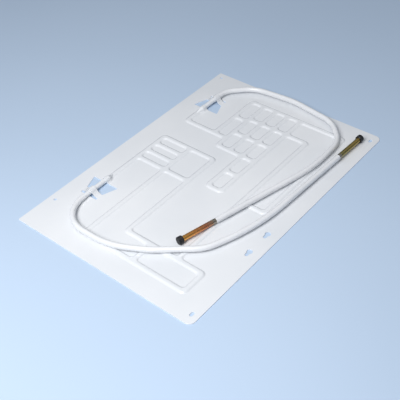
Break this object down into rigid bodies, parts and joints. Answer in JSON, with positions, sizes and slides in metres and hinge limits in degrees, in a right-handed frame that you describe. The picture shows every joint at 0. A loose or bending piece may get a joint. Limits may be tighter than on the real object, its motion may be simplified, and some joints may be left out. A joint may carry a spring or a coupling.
{
  "type": "refrigerator evaporator plate",
  "caption": "Flat white roll-bond evaporator plate with raised refrigerant channels and bent connecting tubes with capped copper ends.",
  "frame": {"origin": "centre of the panel's flat underside", "axes": "+X along the panel's length, +Y to the edge with the two connections, +Z to the channel side"},
  "size_m": [0.49, 0.335, 0.0142],
  "materials": {
    "white_paint": "semi-gloss white paint on aluminium",
    "aluminium": "bare drawn aluminium tube",
    "white_sleeve": "satin white sleeve",
    "copper": "drawn copper tube, slightly tarnished",
    "black_cap": "matt black cap"
  },
  "bodies": {
    "root": {"evaporator_panel": "white_paint", "left_tube": "aluminium", "right_tube": "aluminium", "left_sleeve": "white_sleeve", "right_sleeve": "white_sleeve", "left_stub": "copper", "right_stub": "copper", "left_cap": "black_cap", "right_cap": "black_cap"}
  },
  "joints": []
}
